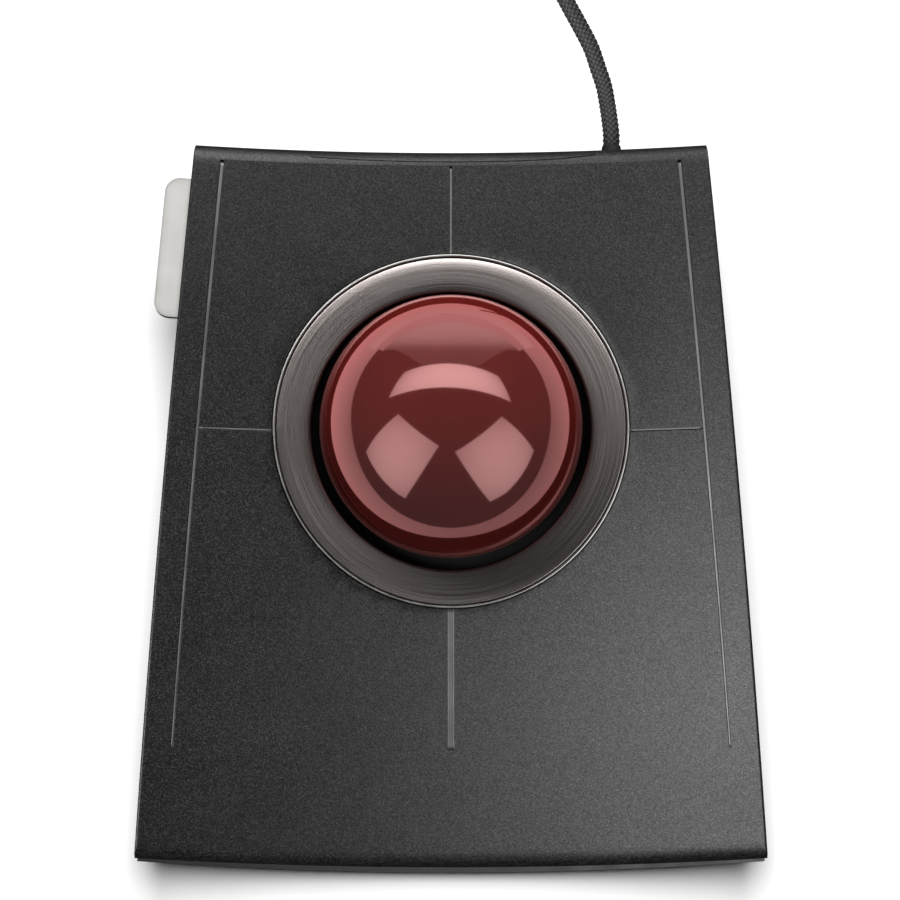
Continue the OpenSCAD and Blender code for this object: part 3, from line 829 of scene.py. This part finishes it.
# ---- Ball ----
def cube_sphere(radius, n):
    """A sphere of six grids, its shared points welded."""
    t = np.tan(np.linspace(-math.pi / 4, math.pi / 4, n + 1))
    verts, faces = [], []
    for axis in range(3):
        for sign in (-1, 1):
            start = len(verts)
            u, v = np.meshgrid(t, t, indexing="ij")
            p = np.empty((n + 1, n + 1, 3))
            p[..., axis] = sign
            p[..., (axis + 1) % 3] = u if sign > 0 else v
            p[..., (axis + 2) % 3] = v if sign > 0 else u
            p = p.reshape(-1, 3)
            verts += list(radius * p / np.linalg.norm(p, axis=1)[:, None])
            faces += grid_faces(n + 1, n + 1, False, False, start)
    seen, weld = {}, []
    for v in verts:
        weld.append(seen.setdefault(tuple(np.round(v, 8)), len(seen)))
    return list(seen), [tuple(weld[i] for i in f) for f in faces]


verts, faces = cube_sphere(BALL_R, 48)
ball = make_mesh("ball_shell", verts, [f[::-1] for f in faces], ball_finish())
ball.location = (0, BALL_Y, BALL_Z)
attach(ball, "ball")
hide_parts("ball")

# ---- Groove liners: pale strips just below the surface, between the panels ----
LINER_STEP = 0.0008
LINER_THICKNESS = 0.0008
LINER_CROWN = 0.00002
LINER_DEPTH = 0.00004
RIB_DEPTH = 0.00022
SLOT_EDGE_X = 0.00054
# between the ring's lip and the strips that begin there
LINER_GAP = 0.00016


def liner(name, points, width, depth=LINER_DEPTH, material=groove_liner, wider=0.0):
    """A strip along a straight plan line, crowned across, its top this depth below the plate.

    It is wider by the last number at its far end.
    """
    a, b = (np.array(p) for p in points)
    n = max(2, int(np.linalg.norm(b - a) / LINER_STEP))
    along = (b - a) / np.linalg.norm(b - a)
    across = np.array([along[1], -along[0]])
    section = [(-0.5, 1.0), (-0.42, 0.35), (-0.25, 0.1), (0, 0), (0.25, 0.1), (0.42, 0.35), (0.5, 1.0)]
    verts = []
    for i in range(n + 1):
        p = a + (b - a) * i / n
        broad = width + wider * i / n
        for s, sink in section:
            q = p + across * s * broad
            verts.append((q[0], q[1], float(saddle(q[0], q[1])) - depth - LINER_CROWN * sink))
        for s in (0.5, -0.5):
            q = p + across * s * broad
            verts.append((q[0], q[1], float(saddle(q[0], q[1])) - depth - LINER_THICKNESS))
    cols = len(section) + 2
    faces = grid_faces(n + 1, cols)
    faces += [tuple(range(cols))[::-1], tuple(n * cols + k for k in range(cols))]
    obj = make_mesh(name, verts, [f[::-1] for f in faces], material)
    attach(obj, "housing")
    return obj


def groove_x(y):
    return half_width(y) - GROOVE_INSET + GROOVE_W / 2


liner_end_y = REAR_HINGE_Y - 0.0007
slot_y = (FRONT_HINGE_Y + 0.0002, RING_Y - RING_R - LINER_GAP)
# nearer the rear panel, because the front one moves 0.15 mm towards it when pressed
split_y = SPLIT_Y + 0.00007
for side in (-1, 1):
    hand = "right" if side > 0 else "left"
    liner(f"side_liner_{hand}", [(side * groove_x(FRONT_HINGE_Y), FRONT_HINGE_Y + 0.0001),
                                (side * groove_x(REAR_HINGE_Y), liner_end_y)], 0.00029, wider=0.00037)
    liner(f"split_liner_{hand}", [(side * (RING_R + LINER_GAP), split_y),
                                 (side * (groove_edge(SPLIT_Y, -1) - 0.00003), split_y)], 0.0003)
    liner(f"slot_edge_{hand}", [(side * SLOT_EDGE_X, y) for y in slot_y], 0.00026, 0.00005)
liner("rear_liner", [(0, RING_Y + RING_R + LINER_GAP), (0, liner_end_y)], GROOVE_W - 0.00006)
liner("slot_rib", [(0, y) for y in slot_y], 0.00076, RIB_DEPTH, rib_grey)

# ---- CAD nodes kept, with finishes ----
FINISHES = {
    "bottom_tub": plain_finish("tub_plastic", (0.007, 0.007, 0.0073), 0.6, 0, 1500, 0.00006),
    "feet": plain_finish("rubber_feet", (0.015, 0.015, 0.015), 0.8, 0, 1800, 0.00006),
    "case_screws": plain_finish("steel_screw", (0.4, 0.4, 0.4), 0.35, 1, 2200, 0.00001),
    "label_plate": plain_finish("label_foil", (0.3, 0.31, 0.32), 0.4, 0.6, 2600, 0.00001),
    "ball_cup": plain_finish("cup_plastic", (0.004, 0.004, 0.004), 0.65, 0, 1300, 0.00003),
    "cup_bearings": plain_finish("ceramic", (0.8, 0.8, 0.82), 0.15, 0, 3000, 0.000003),
    "cup_screws": "case_screws",
    "sensor_windows": plain_finish("window", (0.15, 0.01, 0.012), 0.1, 0, 3000, 0.000003),
    "sensor_chips": plain_finish("chip_black", (0.015, 0.015, 0.016), 0.5, 0, 2600, 0.00002),
    "sensor_boards": plain_finish("pcb", (0.01, 0.08, 0.03), 0.35, 0, 2400, 0.00002),
    "main_board": "sensor_boards",
    "controller_chip": "sensor_chips",
    "board_parts": plain_finish("component", (0.35, 0.25, 0.13), 0.4, 0.3, 2400, 0.00001),
    "board_screws": "case_screws",
    "cable_connector": plain_finish("connector", (0.75, 0.7, 0.6), 0.45, 0, 1600, 0.00002),
    "inner_lead": black_plastic,
    "wire_harness": plain_finish("wire_red", (0.35, 0.02, 0.015), 0.4, 0, 1600, 0.00002),
    "switch_boards": "sensor_boards",
    "switch_bodies": plain_finish("switch_plastic", (0.02, 0.022, 0.03), 0.4, 0, 1500, 0.00002),
    "side_tag": tag_finish(),
    "tag_bracket": plain_finish("grey_plastic", (0.07, 0.07, 0.07), 0.55, 0, 1500, 0.00004),
    "cable_gland": plain_finish("gland_rubber", (0.005, 0.005, 0.005), 0.7, 0, 1500, 0.00004),
    "cord_tie": plain_finish("tie", (0.012, 0.012, 0.013), 0.6, 0, 1500, 0.00004),
    "plug_grip": black_plastic,
    "plug_shell": plain_finish("plug_metal", (0.5, 0.5, 0.51), 0.35, 0.5, 2600, 0.000006, 0.05),
    "plug_insert": plain_finish("plug_white", (0.75, 0.75, 0.72), 0.4, 0, 1600, 0.00001),
    "plug_contacts": plain_finish("gold", (0.85, 0.6, 0.2), 0.2, 1, 2600, 0.000004, 0.05),
    "plunger_front_left": plain_finish("plunger_plastic", (0.65, 0.6, 0.5), 0.45, 0, 1600, 0.00002),
    "plunger_front_right": "plunger_front_left",
    "plunger_rear_left": "plunger_front_left",
    "plunger_rear_right": "plunger_front_left",
}
FINISHES["ball_cup"].node_tree.nodes["Principled BSDF"].inputs["Specular IOR Level"].default_value = 0.1
PLAIN_BEVEL = (0.0002, 2)
BEVELS = {"side_tag": (0.0008, 5)}
for node, finish in FINISHES.items():
    if isinstance(finish, str):
        finish = FINISHES[finish]
    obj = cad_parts[node]
    obj.data.materials.clear()
    obj.data.materials.append(finish)
    bevel = obj.modifiers.new("edges", "BEVEL")
    bevel.width, bevel.segments = BEVELS.get(node, PLAIN_BEVEL)
    bevel.limit_method = "ANGLE"
    bevel.angle_limit = math.radians(40)


# ---- Floor and light ----
def floor_finish():
    s = Shader("floor_paper")
    s.link(s.ramp(s.noise(30, 3), [(0.3, grey(0.49)), (0.7, grey(0.51))]), s.bsdf.inputs["Base Color"])
    s.set(Roughness=0.9)
    return s.material


FLOOR_HALF = 4
floor_corners = [(FLOOR_HALF * x, FLOOR_HALF * y, 0) for x, y in ((-1, -1), (1, -1), (1, 1), (-1, 1))]
floor = make_mesh("floor", floor_corners, [(0, 1, 2, 3)], floor_finish(), False)
floor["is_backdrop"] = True

world = bpy.data.worlds.new("studio")
world.use_nodes = True
world.node_tree.nodes["Background"].inputs["Color"].default_value = (1, 1, 1, 1)
world.node_tree.nodes["Background"].inputs["Strength"].default_value = 0.15
bpy.context.scene.world = world

ball_centre = Vector((0, BALL_Y, BALL_Z))


def reflection_point(u, v, distance):
    """The point whose mirror image shows on the ball at (u, v), in ball radii from its middle."""
    nz = math.sqrt(max(0, 1 - u * u - v * v))
    r = Vector((2 * nz * u, 2 * nz * v, 2 * nz * nz - 1))
    return ball_centre + distance * (r.x * Vector((1, 0, 0)) + r.y * camera_up + r.z * camera_back)


def lights_only(obj, *receivers):
    """The light from obj falls on these objects alone."""
    group = bpy.data.collections.new("lit_by_" + obj.name)
    for receiver in receivers:
        group.objects.link(receiver)
    obj.light_linking.receiver_collection = group


def add_glow(obj, strengths, colour=(1, 1, 1)):
    """Make obj glow with this strength at each point, unseen by the camera and without a shadow."""
    s = Shader(obj.name)
    s.tree.nodes.remove(s.bsdf)
    glow = s.node("ShaderNodeEmission")
    glow.inputs["Color"].default_value = (*colour, 1)
    level = s.node("ShaderNodeAttribute", attribute_name="glow")
    s.link(level.outputs["Fac"], glow.inputs["Strength"])
    s.link(glow.outputs["Emission"], s.tree.nodes["Material Output"].inputs["Surface"])
    obj.data.materials.append(s.material)
    layer = obj.data.attributes.new("glow", "FLOAT", "POINT")
    layer.data.foreach_set("value", strengths)
    obj.visible_camera = obj.visible_shadow = False
    obj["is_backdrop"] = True
    return obj


def glow_panel(name, verts, n, strengths):
    """An n by n panel that glows."""
    return add_glow(make_mesh(name, verts, grid_faces(n + 1, n + 1, False), smooth=False), strengths)


def softbox(name, corners, distance, strength, fall):
    """A flat glowing panel whose corners show at these places on the ball.

    Its strength falls by these shares towards its sides and its ends.
    """
    n = 12
    p, q, r, t = (reflection_point(*c, distance) for c in corners)
    verts, strengths = [], []
    for j in range(n + 1):
        for i in range(n + 1):
            verts.append(p.lerp(q, i / n).lerp(t.lerp(r, i / n), j / n))
            strengths.append(strength * (1 - fall[0] * (2 * i / n - 1) ** 2 - fall[1] * (2 * j / n - 1) ** 2))
    return glow_panel(name, verts, n, strengths)


WATTS_PER_AREA = 4


def lamp(name, corners, distance, strength):
    """An area lamp about where such a softbox is, just in front of it."""
    p, q, r, t = (reflection_point(*c, distance) for c in corners)
    across, along = (q - p) + (r - t), (t - p) + (r - q)
    middle = (p + q + r + t) / 4
    back = (middle - ball_centre).normalized()
    side = (across - across.dot(back) * back).normalized()
    data = bpy.data.lights.new(name, "AREA")
    data.shape = "RECTANGLE"
    data.size, data.size_y = across.length / 2, along.length / 2
    data.energy = WATTS_PER_AREA * strength * data.size * data.size_y
    obj = link(bpy.data.objects.new(name, data))
    turn = Matrix((side, back.cross(side), back)).transposed().to_4x4()
    obj.matrix_world = Matrix.Translation(middle) @ turn
    return obj


BOXES = {
    "strip": [(-0.46, 0.205), (0.443, 0.175), (0.352, 0.365), (-0.342, 0.397)],
    "left": [(-0.342, -0.54), (-0.089, -0.148), (-0.388, 0.086), (-0.63, -0.1935)],
    "right": [(0.302, -0.574), (0.614, -0.181), (0.373, 0.068), (0.03, -0.1935)],
}
FALLS = {"strip": (0.5, 0.1), "left": (0.22, 0.22), "right": (0.22, 0.22)}
rings = [ring, lip]
others = [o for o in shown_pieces() if o not in (ball, ring, lip)]
LEVELS = [
    ("ball", [ball], {"strip": 3.3, "left": 2.2, "right": 2.15}),
    ("ring", rings, {"strip": 16.0, "right": 7.5}),
    ("body", others, {"strip": 1.7}),
]
BOX_DISTANCE = 1.2
LAMP_DISTANCE = 1.12
for group, receivers, levels in LEVELS:
    for box, strength in levels.items():
        if group == "ball":
            light = softbox(f"{box}_for_{group}", BOXES[box], BOX_DISTANCE, strength, FALLS[box])
        else:
            light = lamp(f"{box}_for_{group}", BOXES[box], LAMP_DISTANCE, strength)
        lights_only(light, *receivers)


def floor_strength(azimuth, near):
    """How strongly the painted reflection of the floor glows round the ball, from the far floor (near 0) to
    the plate (near 1).
    """
    far_level = 0.96 - 0.31 * math.cos(2 * azimuth) + 0.38 * math.sin(azimuth)
    near_level = 1.64 + 0.19 * math.cos(2 * azimuth) + 0.55 * math.sin(azimuth) - 0.23 * math.cos(azimuth)
    return far_level + (near_level - far_level) * near


# a pale wall behind, which fades upwards between two dark flags; its sizes are in ball radii
WALL_N = 24
WALL_HALF = 0.64
WALL_TOP_R = 0.82
WALL_DISTANCE = 2.2
# the wall's lower edge, which is where the flags end, and how strongly it glows at each height
FLAG_U = [0, 0.22, 0.32, 0.42, 0.52, WALL_HALF]
FLAG_V = [0.44, 0.45, 0.52, 0.572, 0.56]
FADE_V = [0.48, 0.55, 0.58, 0.61, 0.64, 0.67, 0.76]
FADE = [0.36, 0.42, 0.56, 0.92, 1.18, 1.4, 1.62]
wall_verts, wall_glow = [], []
for j in range(WALL_N + 1):
    for i in range(WALL_N + 1):
        u = WALL_HALF * (2 * i / WALL_N - 1)
        top = math.sqrt(WALL_TOP_R**2 - u * u)
        low = float(np.interp(abs(u), FLAG_U, [*FLAG_V, top - 0.01]))
        v = low + (top - low) * j / WALL_N
        wall_verts.append(reflection_point(u, v, WALL_DISTANCE))
        wall_glow.append(float(np.interp(v, FADE_V, FADE)))
glow_panel("backdrop", wall_verts, WALL_N, wall_glow)


def area_light(name, place, size, energy, *receivers):
    """A square lamp that faces the ball."""
    data = bpy.data.lights.new(name, "AREA")
    data.size, data.energy = size, energy
    obj = link(bpy.data.objects.new(name, data))
    obj.location = place
    obj.rotation_euler = (ball_centre - Vector(place)).to_track_quat("-Z", "Y").to_euler()
    lights_only(obj, *receivers)
    return obj


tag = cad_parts["side_tag"]
body_pieces = [o for o in others if o is not tag]
floor_light = area_light("floor_light", (0, 0.6, 1.7), 0.9, 92, floor, tag)
floor_light.data.shape, floor_light.data.size_y = "RECTANGLE", 1.6
area_light("body_light", (-0.645, -0.459, 1.03), 0.75, 25, *body_pieces)
area_light("back_light", (0.2, 0.9, 0.4), 0.5, 5, *body_pieces)
ball_light = area_light("ball_light", (0, 1.05, 1.1), 0.5, 65, ball)
ball_light.visible_glossy = False
unshaded = bpy.data.collections.new("no_shadow_on_floor")
for obj in (cord, *(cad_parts[n] for n in ("cord_tie", "plug_grip", "plug_shell"))):
    unshaded.objects.link(obj)
floor_light.light_linking.blocker_collection = unshaded
for member in unshaded.collection_objects:
    member.light_linking.link_state = "EXCLUDE"

# a dark screen that glows faintly, seen only in the ball as a painted reflection, that ends the pale floor at
# the front and the sides
SCREEN_N = 64
SCREEN_REACH = 0.45
SCREEN_FRONT = 0.15
screen_verts = []
for height in (0.001, 0.055):
    for i in range(SCREEN_N + 1):
        azimuth = math.radians(132 + 276 * i / SCREEN_N)
        reach = SCREEN_REACH if math.sin(azimuth) > 0 else SCREEN_FRONT
        screen_verts.append((SCREEN_REACH * math.cos(azimuth), BALL_Y + reach * math.sin(azimuth), height))
screen = make_mesh("dark_screen", screen_verts, grid_faces(2, SCREEN_N + 1, False))


def show_in_ball(obj, strengths, colour=(1, 1, 1)):
    """Make obj glow with this strength at each point, in the ball's reflections only."""
    add_glow(obj, strengths, colour)
    obj.visible_diffuse = False
    lights_only(obj, ball)


show_in_ball(screen, [0.15] * len(screen_verts))

# a painted reflection of the pale floor as the ball shows it: a dark, red-tinted disc under the plate for the
# shaded floor there, and rings that glow pink round it for the lit floor
GLOW_X, GLOW_Y = 0.004, 0.0215
DISC_R = 0.1
RING_POINTS = 96
RING_COUNT = 24
RINGS_START = 0.0835
DIP_FAR, DIP_NEAR = 1, 28
FRONT_LONGER = 0.14
circle = [math.tau * i / RING_POINTS for i in range(RING_POINTS)]
disc_verts = [(GLOW_X + DISC_R * math.cos(a), GLOW_Y + DISC_R * math.sin(a), 0.0002) for a in circle]
disc = make_mesh("dark_disc", disc_verts, [tuple(range(RING_POINTS))])
show_in_ball(disc, [0.06] * RING_POINTS, (1, 0.6, 0.5))
rings_verts, rings_glow = [], []
for j in range(RING_COUNT + 1):
    near = 1 - j / RING_COUNT
    dip = math.radians(DIP_FAR + (DIP_NEAR - DIP_FAR) * near)
    reach = RINGS_START * math.tan(math.radians(DIP_NEAR)) / math.tan(dip)
    for a in circle:
        longer = 1 + FRONT_LONGER * near * max(0, -math.sin(a)) ** 3
        rings_verts.append((GLOW_X + reach * math.cos(a), GLOW_Y + longer * reach * math.sin(a), 0.0004))
        rings_glow.append(floor_strength(a, near))
floor_glow = make_mesh("floor_glow", rings_verts, grid_faces(RING_COUNT + 1, RING_POINTS))
show_in_ball(floor_glow, rings_glow, (1, 0.85, 0.85))

# a pale screen, seen only in the ball as a painted reflection of the floor, that hides the coil from it
COIL_SCREEN_Y = 0.118
screen_corners = [(x, COIL_SCREEN_Y, z) for x, z in ((-0.1, 0.001), (0.1, 0.001), (0.1, 0.03), (-0.1, 0.03))]
coil_screen = make_mesh("coil_screen", screen_corners, [(0, 1, 2, 3)])
show_in_ball(coil_screen, [1.9] * 4, (1, 0.9, 0.9))
# of the object's own pieces, only these show in reflections
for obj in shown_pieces():
    if obj not in (ball, ring, lip, cord):
        obj.visible_glossy = False
